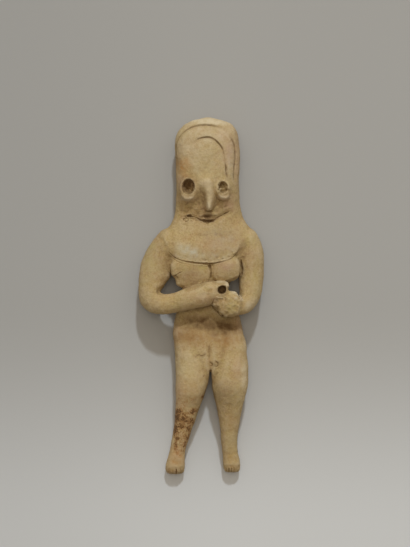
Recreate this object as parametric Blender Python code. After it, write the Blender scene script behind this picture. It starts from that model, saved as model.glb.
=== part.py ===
# Terracotta idol of a woman with clasped hands and tall hair, lying on its back as it lies when loose.
# It is one solid of fired clay: rolls, pads and pellets of clay pressed together, then pierced and
# scored with a stick. X runs across the figure, +Y towards the top of the hair, +Z out of the chest.
# The floor is at Z = 0, and the origin is on it, under the middle of the figure.

import math

import bmesh
import bpy
from mathutils import Matrix, Vector
from mathutils.bvhtree import BVHTree

# Driving sizes, in metres.
HEIGHT = 0.130
COLLAR_THICKNESS = 0.0013
LEFT_EYE_HOLE_WIDTH = 0.0046
RIGHT_EYE_HOLE_WIDTH = 0.0035
EYE_HOLE_DEPTH = 0.0036
FIST_HOLE_WIDTH = 0.0033
FIST_HOLE_DEPTH = 0.0050
HAIR_LINE_WIDTH = 0.0009
HAIR_LINE_DEPTH = 0.0005
JAW_LINE_WIDTH = 0.0014
JAW_LINE_DEPTH = 0.0010
LEG_LINE_WIDTH = 0.0010
LEG_LINE_DEPTH = 0.0008
TOE_CUT_WIDTH = 0.0006
TOE_CUT_DEPTH = 0.0005
PRESSED_FLAT = 0.0006

# How finely the clay is kneaded, in metres, how often it is smoothed, and how many facets are kept.
BODY_GRAIN = 0.00060
BODY_SMOOTHING = 8
SURFACE_GRAIN = 0.00042
SURFACE_SMOOTHING = 3
BODY_FACETS = 6400

# Places on the body are in percent of HEIGHT: across from the middle of the face, up from the soles,
# and out from the back. Each station of a loft is up, across, half width, back and front.
HEAD = [
    (100.2, 0.3, 0.5, 6.0, 7.4),
    (99.1, 0.5, 5.1, 3.6, 9.6),
    (97.5, 0.3, 7.4, 2.2, 10.8),
    (96.0, 0.1, 8.4, 1.4, 11.4),
    (93.5, 0.0, 9.0, 0.6, 11.9),
    (89.7, 0.2, 9.0, 0.0, 12.3),
    (85.5, 0.2, 8.9, -0.1, 12.5),
    (81.3, 0.2, 8.8, 0.0, 12.4),
    (77.1, 0.2, 8.9, 0.3, 11.3),
    (74.3, 0.3, 9.2, 0.7, 10.2),
    (72.3, 0.4, 9.7, 1.1, 9.6),
    (70.4, 0.5, 10.7, 1.5, 9.6),
    (68.0, 0.6, 12.0, 2.0, 9.9),
    (65.5, 0.5, 10.8, 2.8, 9.2),
]
HAIR_FALL = [
    (84.0, 0.2, 7.0, 0.6, 6.0),
    (76.0, 0.2, 7.8, 0.5, 6.0),
    (71.0, 0.3, 8.4, 0.5, 6.0),
    (66.5, 0.3, 8.0, 0.6, 6.0),
    (63.5, 0.3, 6.4, 0.8, 5.0),
    (62.2, 0.3, 4.0, 1.6, 4.0),
]
TRUNK = [
    (69.5, 0.5, 9.0, 2.6, 9.3),
    (67.0, 0.2, 12.2, 1.7, 9.9),
    (63.0, 0.0, 11.4, 1.2, 10.5),
    (59.0, -0.3, 10.0, 1.1, 10.3),
    (55.0, -0.1, 7.9, 1.4, 9.7),
    (52.0, 0.1, 6.8, 1.8, 9.3),
    (48.5, 0.1, 7.5, 1.8, 9.1),
    (45.0, 0.1, 8.9, 1.3, 9.4),
    (42.0, 0.2, 9.6, 0.8, 9.8),
    (39.0, 0.4, 10.0, 0.4, 10.2),
    (36.0, 0.8, 9.6, 0.6, 10.4),
    (33.0, 1.0, 7.8, 1.4, 10.4),
    (30.8, 1.0, 5.4, 2.2, 10.3),
    (29.4, 1.0, 3.8, 2.8, 10.0),
    (28.4, 1.0, 2.4, 3.6, 9.2),
    (27.7, 1.0, 1.0, 4.8, 7.8),
]
LEFT_LEG = [
    (40.0, -4.3, 4.4, 1.0, 9.4),
    (37.0, -4.2, 5.1, 0.5, 10.1),
    (33.5, -4.1, 4.9, 0.6, 10.5),
    (29.6, -4.0, 4.8, 1.2, 10.8),
    (25.4, -4.3, 4.5, 2.0, 10.8),
    (21.8, -4.9, 3.8, 2.3, 10.0),
    (19.0, -5.4, 3.4, 2.1, 9.0),
    (15.9, -6.0, 3.0, 1.7, 7.9),
    (12.8, -6.8, 2.6, 1.4, 6.9),
    (9.8, -7.6, 2.4, 1.2, 6.2),
    (7.0, -8.3, 2.3, 1.0, 5.6),
    (4.7, -8.6, 2.5, 0.8, 5.4),
    (2.5, -8.9, 2.8, 0.7, 5.2),
    (1.1, -9.0, 2.7, 0.9, 4.8),
    (0.2, -8.9, 2.3, 1.4, 4.2),
]
RIGHT_LEG = [
    (40.5, 5.2, 4.7, 1.0, 9.4),
    (37.0, 5.9, 5.2, 0.5, 10.1),
    (33.5, 6.1, 5.2, 0.6, 10.5),
    (29.6, 6.4, 5.2, 1.2, 10.8),
    (25.4, 6.4, 5.1, 2.0, 10.8),
    (22.4, 6.4, 4.5, 2.4, 10.2),
    (19.8, 6.3, 3.8, 2.2, 9.2),
    (17.0, 6.3, 3.2, 1.9, 8.1),
    (14.2, 6.3, 2.8, 1.6, 7.3),
    (11.5, 6.2, 2.4, 1.3, 6.6),
    (8.0, 6.3, 2.2, 1.0, 5.8),
    (5.4, 6.7, 2.3, 0.8, 5.4),
    (3.2, 7.0, 2.5, 0.7, 5.2),
    (1.7, 7.1, 2.5, 0.9, 4.8),
    (0.7, 7.1, 2.1, 1.4, 4.2),
]
NOSE = [
    (84.5, 0.3, 2.8, 7.0, 12.0),
    (82.2, 0.3, 2.9, 7.0, 12.7),
    (79.7, 0.4, 2.3, 7.0, 12.9),
    (77.3, 0.6, 1.7, 7.0, 13.0),
    (75.4, 0.6, 1.3, 8.0, 13.2),
    (74.3, 0.6, 0.9, 9.0, 13.0),
    (73.8, 0.6, 0.4, 10.5, 12.4),
]

# The middle lines of the arms, from shoulder to hand: across, up, out and radius.
LEFT_ARM = [
    (-10.9, 65.8, 5.4, 3.5),
    (-13.4, 61.5, 5.4, 3.95),
    (-14.8, 57.3, 5.7, 4.05),
    (-15.5, 53.4, 6.2, 3.8),
    (-15.3, 49.6, 7.2, 3.6),
    (-12.6, 48.1, 8.8, 3.1),
    (-8.9, 48.4, 10.0, 2.85),
    (-5.3, 49.5, 11.0, 3.15),
    (-1.9, 50.4, 11.3, 3.4),
    (1.2, 51.2, 11.5, 3.2),
]
RIGHT_ARM = [
    (11.0, 65.9, 5.4, 3.6),
    (12.3, 62.0, 5.4, 3.6),
    (12.5, 57.5, 5.7, 3.5),
    (12.4, 53.9, 6.4, 3.4),
    (11.9, 50.6, 7.4, 3.1),
    (10.6, 48.4, 8.6, 2.9),
    (8.4, 47.5, 10.0, 2.7),
]

# Pads of clay: across, up and out, then half width, half height and half depth.
LEFT_BUTTOCK = ((-4.3, 38.2, 4.6), (4.8, 5.2, 4.5))
RIGHT_BUTTOCK = ((5.6, 38.2, 4.6), (4.8, 5.2, 4.5))
LEFT_BREAST = ((-4.5, 57.0, 9.4), (5.5, 4.8, 1.9))
RIGHT_BREAST = ((5.2, 57.9, 9.4), (4.1, 3.9, 1.9))
FIST = ((3.3, 51.7, 11.8), (2.8, 2.8, 2.4))
FIST_HOLE_AT = (4.1, 52.0)
PALM = ((5.8, 48.2, 11.5), (4.2, 3.8, 2.4))
LIPS = ((0.6, 72.7, 10.2), (1.5, 0.7, 0.8))
LEFT_EYE = ((-5.3, 80.2, 11.1), (2.4, 3.1, 1.2))
RIGHT_EYE = ((4.5, 80.0, 11.2), (2.1, 2.8, 1.2))
EYE_TURN = 20
EYE_HOLE_RISE = 0.5
EYE_HOLE_STRETCH = 1.2

# The collar lies on the chest and shoulders, and fades out below the jaw. Its outline: across and up.
COLLAR_OUTLINE = [
    (-8.7, 70.4),
    (-12.3, 68.4),
    (-13.1, 66.8),
    (-12.3, 64.2),
    (-10.3, 62.1),
    (-7.5, 60.7),
    (-4.7, 59.8),
    (-1.7, 59.3),
    (0.9, 59.3),
    (3.6, 60.0),
    (6.1, 60.9),
    (8.4, 62.6),
    (9.8, 64.8),
    (10.3, 67.0),
    (9.6, 69.8),
    (5.3, 71.5),
    (0.3, 70.8),
    (-4.7, 71.8),
]
COLLAR_FADES_FROM = 63.5
COLLAR_FADES_TO = 70.0

# Scored lines, from end to end: across and up.
OUTER_HAIR_LINE = [
    (-8.3, 86.0),
    (-8.2, 91.0),
    (-7.7, 93.4),
    (-6.4, 95.6),
    (-4.0, 97.1),
    (0.3, 97.7),
    (3.9, 97.1),
    (6.0, 95.6),
    (7.4, 93.0),
    (8.0, 89.0),
    (7.8, 86.0),
    (7.6, 82.5),
]
INNER_HAIR_LINE = [
    (-4.3, 92.2),
    (-2.8, 93.4),
    (-0.3, 94.3),
    (2.2, 93.3),
    (4.3, 90.5),
    (5.2, 86.9),
    (5.9, 83.4),
]
JAW_LINE = [
    (-6.7, 71.6),
    (-4.5, 72.1),
    (-2.2, 71.4),
    (0.2, 70.9),
    (2.4, 71.5),
    (4.4, 72.7),
    (6.2, 73.5),
]
LEG_LINE = [
    (0.7, 36.5),
    (0.8, 33.0),
    (1.0, 29.6),
]

# The narrow slit that parts the legs below that line: across and up.
LEG_SLIT = [
    (0.75, 29.8),
    (0.35, 26.6),
    (0.3, 25.4),
    (1.5, 25.4),
    (1.45, 26.6),
    (1.25, 29.8),
]
TOES = 5
TOE_LENGTH = 1.9


def place(across, up, out=0.0):
    # A place on the body, in percent of the height, as a point in metres.
    return Vector((across, up, out)) * (HEIGHT / 100)


def smooth(rows, steps):
    # Rows read from a smooth curve that passes through the given rows.
    padded = [rows[0], *rows, rows[-1]]
    found = []
    for a_row, b_row, c_row, d_row in zip(padded, padded[1:], padded[2:], padded[3:]):
        for step in range(steps):
            t = step / steps
            found.append(
                tuple(
                    b
                    + 0.5 * (c - a) * t
                    + 0.5 * (2 * a - 5 * b + 4 * c - d) * t**2
                    + 0.5 * (3 * b - a - 3 * c + d) * t**3
                    for a, b, c, d in zip(a_row, b_row, c_row, d_row)
                )
            )
    found.append(rows[-1])
    return found


def new_object(name, shape):
    # An object in the scene made from a bmesh, with its faces pointing out.
    bmesh.ops.recalc_face_normals(shape, faces=shape.faces)
    mesh = bpy.data.meshes.new(name)
    shape.to_mesh(mesh)
    shape.free()
    made = bpy.data.objects.new(name, mesh)
    bpy.context.scene.collection.objects.link(made)
    return made


def settled(obj):
    # The same object as a plain mesh in place, with its modifiers or its curve worked out.
    bpy.context.view_layer.update()
    graph = bpy.context.evaluated_depsgraph_get()
    mesh = bpy.data.meshes.new_from_object(obj.evaluated_get(graph))
    mesh.transform(obj.matrix_world)
    name = obj.name
    bpy.data.objects.remove(obj)
    made = bpy.data.objects.new(name, mesh)
    bpy.context.scene.collection.objects.link(made)
    return made


def oval(fullness, sides):
    # Points round an oval of half size 1. Fullness 2 is round, and more is boxier.
    points = []
    for side in range(sides):
        turn = 2 * math.pi * side / sides
        x, z = math.cos(turn), math.sin(turn)
        reach = (abs(x) ** fullness + abs(z) ** fullness) ** (-1 / fullness)
        points.append((x * reach, z * reach))
    return points


def loft(name, stations, fullness=2.3, sides=40, steps=4):
    # A closed limb or trunk through its stations.
    shape = bmesh.new()
    rings = []
    for up, across, half_width, back, front in smooth(stations, steps):
        middle, half_depth = (front + back) / 2, (front - back) / 2
        rings.append(
            [
                shape.verts.new(place(across + half_width * x, up, middle + half_depth * z))
                for x, z in oval(fullness, sides)
            ]
        )
    for upper, lower in zip(rings, rings[1:]):
        for side in range(sides):
            shape.faces.new((upper[side - 1], upper[side], lower[side], lower[side - 1]))
    shape.faces.new(rings[0])
    shape.faces.new(rings[-1])
    return new_object(name, shape)


def pad(name, middle, half, fullness=2.0, turn=0.0):
    # A pad or ball of clay. Turn faces it across, in degrees about the upright of the body.
    shape = bmesh.new()
    bmesh.ops.create_uvsphere(shape, u_segments=32, v_segments=20, radius=1)
    for point in shape.verts:
        reach = sum(abs(side) ** fullness for side in point.co) ** (-1 / fullness)
        point.co = point.co * reach * (HEIGHT / 100)
    shape.transform(
        Matrix.Translation(place(*middle))
        @ Matrix.Rotation(math.radians(turn), 4, "Y")
        @ Matrix.Diagonal((*half, 1))
    )
    return new_object(name, shape)


def clay_roll(name, stations, steps=5):
    # A round roll of clay along its middle line, with a ball at each end.
    curve = bpy.data.curves.new(name, "CURVE")
    curve.dimensions = "3D"
    curve.bevel_depth = 1.0
    curve.bevel_resolution = 8
    curve.use_fill_caps = True
    rows = smooth(stations, steps)
    spline = curve.splines.new("POLY")
    spline.points.add(len(rows) - 1)
    for point, (across, up, out, radius) in zip(spline.points, rows):
        point.co = (*place(across, up, out), 1)
        point.radius = radius * HEIGHT / 100
    roll = bpy.data.objects.new(name, curve)
    bpy.context.scene.collection.objects.link(roll)
    ends = [
        pad(f"{name}_end", (across, up, out), (radius, radius, radius))
        for across, up, out, radius in (stations[0], stations[-1])
    ]
    return [settled(roll), *ends]


def knead(name, pieces, grain, smoothing):
    # One closed body pressed together from pieces of clay, with the joins smoothed.
    shape = bmesh.new()
    for piece in pieces:
        shape.from_mesh(piece.data)
        bpy.data.objects.remove(piece)
    body = new_object(name, shape)
    remesh = body.modifiers.new("Knead", "REMESH")
    remesh.mode = "VOXEL"
    remesh.voxel_size = grain
    soften = body.modifiers.new("Smooth", "SMOOTH")
    soften.factor = 0.5
    soften.iterations = smoothing
    return settled(body)


def slab(name, rows, lower, upper):
    # An outline of across and up, as a solid between two heights out from the back.
    shape = bmesh.new()
    sheet = shape.faces.new([shape.verts.new(place(*row, lower)) for row in rows])
    raised = bmesh.ops.extrude_face_region(shape, geom=[sheet])["geom"]
    top = [part for part in raised if isinstance(part, bmesh.types.BMVert)]
    bmesh.ops.translate(shape, vec=place(0, 0, upper - lower), verts=top)
    return new_object(name, shape)


def collar(body):
    # The broad flat collar: the front of the chest raised a little, and cut off along its outline.
    shape = bmesh.new()
    shape.from_mesh(body.data)
    for point in shape.verts:
        _, up, out = point.co * (100 / HEIGHT)
        if out > 5.0:
            fade = (COLLAR_FADES_TO - up) / (COLLAR_FADES_TO - COLLAR_FADES_FROM)
            point.co.z += COLLAR_THICKNESS * min(1.0, max(0.0, fade))
    skin = new_object("collar", shape)
    rows = smooth([*COLLAR_OUTLINE, COLLAR_OUTLINE[0]], 4)[:-1]
    cutter = slab("collar_outline", rows, 7.0, 25.0)
    trim = skin.modifiers.new("Outline", "BOOLEAN")
    trim.operation = "INTERSECT"
    trim.object = cutter
    made = settled(skin)
    bpy.data.objects.remove(cutter)
    return made


def skin_under(skin, across, up):
    # The place and the facing of the front of the body, seen from above it, or of its nearest rim.
    spot, facing, _, _ = skin.ray_cast(place(across, up, 40.0), Vector((0, 0, -1)))
    if spot is None:
        spot, facing, _, _ = skin.find_nearest(place(across, up, 3.0))
    return spot, facing


def scored_line(name, skin, line, width, depth, steps=3):
    # A round-bottomed groove along a line on the front of the body, thinner at its ends.
    radius = (width**2 / 4 + depth**2) / (2 * depth)
    curve = bpy.data.curves.new(name, "CURVE")
    curve.dimensions = "3D"
    curve.bevel_depth = radius
    curve.bevel_resolution = 2
    curve.use_fill_caps = True
    rows = smooth(line, steps)
    spline = curve.splines.new("POLY")
    spline.points.add(len(rows) - 1)
    for point, row in zip(spline.points, rows):
        spot, facing = skin_under(skin, *row)
        point.co = (*(spot + facing * (radius - depth)), 1)
    for end in (spline.points[0], spline.points[-1]):
        end.radius = 0.7
    tube = bpy.data.objects.new(name, curve)
    bpy.context.scene.collection.objects.link(tube)
    return settled(tube)


def stick_hole(name, skin, middle, width, depth, stretch=1.0, lean=0.0):
    # A blunt tapered hole pierced into the front of the body. Lean tips it across, in degrees.
    spot, _ = skin_under(skin, middle[0], middle[1])
    shape = bmesh.new()
    bmesh.ops.create_cone(
        shape, cap_ends=True, segments=18, radius1=0.3 * width, radius2=0.7 * width, depth=2 * depth
    )
    shape.transform(
        Matrix.Translation(spot)
        @ Matrix.Rotation(math.radians(lean), 4, "Y")
        @ Matrix.Diagonal((1, stretch, 1, 1))
    )
    return new_object(name, shape)


def eye_hole(name, skin, eye, width, lean):
    (across, up, _), _ = eye
    return stick_hole(name, skin, (across, up + EYE_HOLE_RISE), width, EYE_HOLE_DEPTH, EYE_HOLE_STRETCH, lean)


def toe_cuts(name, skin, leg):
    # The cuts between the toes, along the lower edge of one foot.
    _, middle, half_width, _, _ = leg[-3]
    tip = leg[-1][0]
    toe = 2 * half_width * 0.88 / TOES
    cuts = []
    for number in range(1, TOES):
        across = middle + (number - TOES / 2) * toe
        line = [(across, tip + TOE_LENGTH), (across, tip)]
        cuts.append(scored_line(f"{name}_{number}", skin, line, TOE_CUT_WIDTH, TOE_CUT_DEPTH, 2))
    return cuts


def under_floor(lowest):
    # The block that presses small flats on whatever reaches lowest, so that the idol lies still.
    shape = bmesh.new()
    bmesh.ops.create_cube(shape, size=HEIGHT * 2)
    bmesh.ops.translate(shape, vec=(0, HEIGHT / 2, lowest + PRESSED_FLAT - HEIGHT), verts=shape.verts)
    return new_object("under_floor", shape)


def terracotta():
    clay = bpy.data.materials.new("terracotta")
    clay.use_nodes = True
    shader = clay.node_tree.nodes["Principled BSDF"]
    shader.inputs["Base Color"].default_value = (0.47, 0.34, 0.19, 1)
    shader.inputs["Roughness"].default_value = 0.92
    shader.inputs["Metallic"].default_value = 0.0
    return clay


def cut(body, cutters):
    for cutter in cutters:
        cutter.parent = body
        cutter.hide_render = True
        cutter.display_type = "WIRE"
        made = body.modifiers.new(cutter.name, "BOOLEAN")
        made.operation = "DIFFERENCE"
        made.object = cutter


def bare_body():
    # The large forms, kneaded together until their joins are smooth, with the legs parted by a slit.
    body = knead(
        "body",
        [
            loft("head", HEAD),
            loft("hair_fall", HAIR_FALL, fullness=2.6),
            loft("trunk", TRUNK, fullness=2.5),
            loft("left_leg", LEFT_LEG, fullness=2.2),
            loft("right_leg", RIGHT_LEG, fullness=2.2),
            *clay_roll("left_arm", LEFT_ARM),
            *clay_roll("right_arm", RIGHT_ARM),
            pad("left_buttock", *LEFT_BUTTOCK),
            pad("right_buttock", *RIGHT_BUTTOCK),
        ],
        BODY_GRAIN,
        BODY_SMOOTHING,
    )
    blade = slab("leg_slit", LEG_SLIT, -5.0, 20.0)
    cut(body, [blade])
    parted = settled(body)
    bpy.data.objects.remove(blade)
    return parted


def dressed_body():
    # The body with the smaller pieces pressed on it, thinned to its facets.
    body = bare_body()
    idol = knead(
        "idol",
        [
            collar(body),
            body,
            loft("nose", NOSE, fullness=1.5),
            pad("left_breast", *LEFT_BREAST, fullness=2.5),
            pad("right_breast", *RIGHT_BREAST, fullness=2.5),
            pad("palm", *PALM, fullness=2.3),
            pad("fist", *FIST, fullness=2.3),
            pad("lips", *LIPS),
            pad("left_eye", *LEFT_EYE, turn=-EYE_TURN),
            pad("right_eye", *RIGHT_EYE, turn=EYE_TURN),
        ],
        SURFACE_GRAIN,
        SURFACE_SMOOTHING,
    )
    thin = idol.modifiers.new("Facets", "DECIMATE")
    thin.ratio = BODY_FACETS / (2 * len(idol.data.polygons))
    return settled(idol)


def build():
    for obj in list(bpy.data.objects):
        bpy.data.objects.remove(obj)

    idol = dressed_body()
    idol.name = "idol"
    idol.data.materials.append(terracotta())
    bpy.context.view_layer.update()
    skin = BVHTree.FromObject(idol, bpy.context.evaluated_depsgraph_get())
    low = [min(point.co[axis] for point in idol.data.vertices) for axis in range(3)]
    high = [max(point.co[axis] for point in idol.data.vertices) for axis in range(3)]
    cut(
        idol,
        [
            eye_hole("left_eye_hole", skin, LEFT_EYE, LEFT_EYE_HOLE_WIDTH, -EYE_TURN / 2),
            eye_hole("right_eye_hole", skin, RIGHT_EYE, RIGHT_EYE_HOLE_WIDTH, EYE_TURN / 2),
            stick_hole("fist_hole", skin, FIST_HOLE_AT, FIST_HOLE_WIDTH, FIST_HOLE_DEPTH),
            scored_line("outer_hair_line", skin, OUTER_HAIR_LINE, HAIR_LINE_WIDTH, HAIR_LINE_DEPTH),
            scored_line("inner_hair_line", skin, INNER_HAIR_LINE, HAIR_LINE_WIDTH, HAIR_LINE_DEPTH),
            scored_line("jaw_line", skin, JAW_LINE, JAW_LINE_WIDTH, JAW_LINE_DEPTH),
            scored_line("leg_line", skin, LEG_LINE, LEG_LINE_WIDTH, LEG_LINE_DEPTH),
            *toe_cuts("left_toe_cut", skin, LEFT_LEG),
            *toe_cuts("right_toe_cut", skin, RIGHT_LEG),
            under_floor(low[2]),
        ],
    )

    # Set it down on its pressed flats, with the origin under the middle of its box.
    idol.location = (-(low[0] + high[0]) / 2, -(low[1] + high[1]) / 2, -(low[2] + PRESSED_FLAT))


build()
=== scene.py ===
import math

import bpy
import numpy as np
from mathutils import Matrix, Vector, noise


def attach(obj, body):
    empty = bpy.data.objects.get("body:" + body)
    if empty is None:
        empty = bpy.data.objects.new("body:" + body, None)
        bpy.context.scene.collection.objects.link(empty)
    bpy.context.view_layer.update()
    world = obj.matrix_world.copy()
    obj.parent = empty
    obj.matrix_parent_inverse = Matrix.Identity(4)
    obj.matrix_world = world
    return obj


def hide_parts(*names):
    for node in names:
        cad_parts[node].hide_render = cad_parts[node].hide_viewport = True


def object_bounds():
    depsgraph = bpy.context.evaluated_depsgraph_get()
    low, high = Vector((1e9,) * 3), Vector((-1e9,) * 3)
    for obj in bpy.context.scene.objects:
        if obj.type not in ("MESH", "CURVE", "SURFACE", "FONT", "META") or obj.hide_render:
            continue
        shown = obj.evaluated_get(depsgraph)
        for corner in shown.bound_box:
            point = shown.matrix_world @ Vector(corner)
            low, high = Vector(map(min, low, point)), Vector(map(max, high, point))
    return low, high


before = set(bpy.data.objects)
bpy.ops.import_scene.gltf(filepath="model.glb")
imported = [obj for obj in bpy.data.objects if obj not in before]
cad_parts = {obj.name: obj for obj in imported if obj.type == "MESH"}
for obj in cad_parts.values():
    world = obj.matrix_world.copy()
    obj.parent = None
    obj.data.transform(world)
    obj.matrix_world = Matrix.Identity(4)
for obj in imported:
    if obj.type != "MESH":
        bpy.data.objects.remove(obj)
cadLow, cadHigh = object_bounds()
print("packed figure loaded")

# Places on the figure are counted on a flat sheet over its front, in steps of about a third of a
# millimetre. Columns run to the right, rows run down, and heights are counted up from the floor.
sheet = {
    "step": 0.0003631,  # metres
    "column": 207.0,  # this place of the sheet
    "row": 476.0,
    "x": 0.002156,  # lies at this place of the frame, in metres
    "y": -0.06525,
}


def onSheet(places):
    step = sheet["step"]
    counted = places / step
    return np.column_stack([
        counted[:, 0] - sheet["x"] / step + sheet["column"],
        sheet["row"] - counted[:, 1] + sheet["y"] / step,
        counted[:, 2],
    ])


def offSheet(at):
    step = sheet["step"]
    return np.column_stack([
        (at[:, 0] - sheet["column"]) * step + sheet["x"],
        (sheet["row"] - at[:, 1]) * step + sheet["y"],
        at[:, 2] * step,
    ])


def readRows(items, name):
    values = np.empty(len(items) * 3)
    items.foreach_get(name, values)
    return values.reshape(-1, 3)


def takeOnly(obj):
    bpy.ops.object.select_all(action="DESELECT")
    obj.select_set(True)
    bpy.context.view_layer.objects.active = obj


def finishWith(obj, kind, **settings):
    takeOnly(obj)
    bpy.ops.object.modifier_add(type=kind)
    added = obj.modifiers[-1]
    for name, value in settings.items():
        setattr(added, name, value)
    bpy.ops.object.modifier_apply(modifier=added.name)


def curveThrough(points, steps=6):
    # more points on a smooth curve through the given ones
    padded = [points[0], *points, points[-1]]
    rows = []
    for before, start, end, after in zip(padded, padded[1:], padded[2:], padded[3:]):
        before, start, end, after = (np.array(p, float) for p in (before, start, end, after))
        for step in range(steps):
            t = step / steps
            rows.append(
                start + 0.5 * (end - before) * t
                + 0.5 * (2 * before - 5 * start + 4 * end - after) * t**2
                + 0.5 * (3 * start - before - 3 * end + after) * t**3
            )
    rows.append(np.array(points[-1], float))
    return np.array(rows)


def ease(value, low, high):
    share = np.clip((value - low) / (high - low), 0, 1)
    return share * share * (3 - 2 * share)


def pressedPath(path):
    # a smooth path, and how hard the stick is pressed along it: the third number at a point
    rows = curveThrough([(*point, 1.0)[:3] for point in path])
    return rows[:, :2], rows[:, 2]


def nearestOn(rows, places):
    # distance to a path, the share of its length at the nearest point, and the shares at its corners
    lengths = np.linalg.norm(np.diff(rows, axis=0), axis=1)
    reached = np.concatenate([[0], np.cumsum(lengths)])
    best = np.full(len(places), 1e9)
    share = np.zeros(len(places))
    for number, (start, end) in enumerate(zip(rows, rows[1:])):
        run = end - start
        off = places - start
        t = np.clip(off @ run / max(run @ run, 1e-12), 0, 1)
        away = np.linalg.norm(off - t[:, None] * run, axis=1)
        closer = away < best
        best[closer] = away[closer]
        share[closer] = (reached[number] + t[closer] * lengths[number]) / reached[-1]
    return best, share, reached / reached[-1]


def ovalReach(places, middle, half, turn=0.0):
    # 0 in the middle of an oval and 1 on its edge
    c, s = math.cos(math.radians(turn)), math.sin(math.radians(turn))
    off = places[:, :2] - middle
    return np.hypot((off[:, 0] * c + off[:, 1] * s) / half[0], (off[:, 1] * c - off[:, 0] * s) / half[1])


def unevenness(places, size, seed):
    shift = Vector((seed * 7.31, seed * 3.17, seed * 5.53))
    return np.array([noise.noise(Vector(p) / size + shift) for p in places.tolist()])


touch = {
    "turned": 0.02,  # clay that faces a tool less than this isn't reached
    "stick": 0.3,  # clay that faces it this much takes the whole of a stick's force
    "thumb": 0.25,
    "ring": 0.2,
    "margin": 0.00002,  # metres kept free inside the solid's box
}


class Clay:
    # the skin of the figure under the tools, counted in the sheet's steps
    def __init__(self, obj):
        self.obj = obj
        self.read()

    def read(self):
        self.at = onSheet(readRows(self.obj.data.vertices, "co"))
        self.facing = readRows(self.obj.data.vertices, "normal") * (1, -1, 1)

    def write(self):
        margin = touch["margin"]
        co = np.clip(offSheet(self.at), np.array(cadLow) + (margin, margin, 0), np.array(cadHigh) - margin)
        self.obj.data.vertices.foreach_set("co", co.ravel())
        self.obj.data.update()
        self.read()

    def turned(self, picked, back):
        return -self.facing[picked, 2] if back else self.facing[picked, 2]

    def within(self, low, high, back=False):
        plan = self.at[:, :2]
        inside = ((plan > low) & (plan < high)).all(axis=1)
        return np.nonzero(inside & (self.turned(slice(None), back) > touch["turned"]))[0]

    def shift(self, picked, amount, straight=False):
        # straight up, or along the way the clay faces
        if straight:
            self.at[picked, 2] += amount
        else:
            self.at[picked] += self.facing[picked] * amount[:, None]

    def score(self, path, width, depth, lip=0.0, taper=0.12, shake=0.25, back=False):
        # a stick drawn through the clay: a round groove with the clay pushed up beside it
        rows, force = pressedPath(path)
        reach = width * force.max() * 2.6
        picked = self.within(rows.min(0) - reach, rows.max(0) + reach, back)
        away, share, reached = nearestOn(rows, self.at[picked, :2])
        force = np.interp(share, reached, force)
        wobble = unevenness(self.at[picked], width * 2.4, depth + rows[0, 0])
        t = np.abs(away / force + wobble * width * shake) / width
        fade = ease(share, -0.001, taper) * ease(1 - share, -0.001, taper) * force
        dent = -depth * np.clip(1 - t * t, 0, 1) ** 1.2 + lip * np.exp(-(((t - 1.35) / 0.4) ** 2))
        met = ease(self.turned(picked, back), touch["turned"], touch["stick"])
        self.shift(picked, dent * fade * met * (1 + 0.35 * wobble))

    def dab(self, middle, half, height, fullness=2.0, turn=0.0, back=False, straight=False):
        # a thumb's touch: an oval patch raised or pressed in
        reach = max(half) * 1.7
        picked = self.within(np.array(middle) - reach, np.array(middle) + reach, back)
        r = ovalReach(self.at[picked], middle, half, turn)
        met = ease(self.turned(picked, back), 0.0, touch["thumb"])
        self.shift(picked, height * np.exp(-(r ** fullness) * 1.2) * met, straight)

    def hoop(self, middle, half, width, height, heavy):
        # an oval ring of clay, heavier at its foot
        reach = max(half) + width * 3
        picked = self.within(np.array(middle) - reach, np.array(middle) + reach)
        r = ovalReach(self.at[picked], middle, half)
        foot = (self.at[picked, 1] - middle[1]) / half[1] / np.maximum(r, 1e-6)
        amount = height * (1 + heavy * foot) * np.exp(-(((r - 1) * min(half) / width) ** 2))
        self.at[picked, 2] += amount * ease(self.facing[picked, 2], 0.0, touch["ring"])

    def widen(self, middle, half, share):
        # a stick leaned round a hole pushes its rim outward
        reach = np.array(half) * 2
        picked = self.within(np.array(middle) - reach, np.array(middle) + reach)
        hold = np.exp(-(ovalReach(self.at[picked], middle, half) ** 3) * 1.2)
        self.at[picked, :2] += (self.at[picked, :2] - middle) * (share * hold)[:, None]

    def crumble(self, middle, half, parts, seed):
        # small pits and crumbs: each part has a size and a height
        reach = np.array(half) * 1.4
        picked = self.within(np.array(middle) - reach, np.array(middle) + reach)
        hold = np.exp(-(ovalReach(self.at[picked], middle, half) ** 4))
        for number, (size, height) in enumerate(parts):
            self.at[picked, 2] += hold * height * unevenness(self.at[picked], size, seed + number)

    def grab(self, middle, half, pull):
        # clay drawn sideways, right through the body
        hold = np.exp(-(ovalReach(self.at, middle, half) ** 2) * 1.2)
        self.at += hold[:, None] * np.array(pull)


idolForm = {
    "weld": 0.000001,  # metres
    "grain": 0.00030,  # size of the mesh's cells, in metres
    "settle": 9,  # rounds that take the facets off: the skin is drawn in and let out again
    "drawIn": 0.5,
    "letOut": -0.52,
    "heal": 110,  # passes that close the plain source's marks before they are scored again
    "uneven": ((17, 0.55, 1), (8, 0.34, 2), (3.6, 0.20, 3), (1.9, 0.11, 4)),  # size, height and seed
    "limit": 190000,  # triangles kept
}

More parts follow.
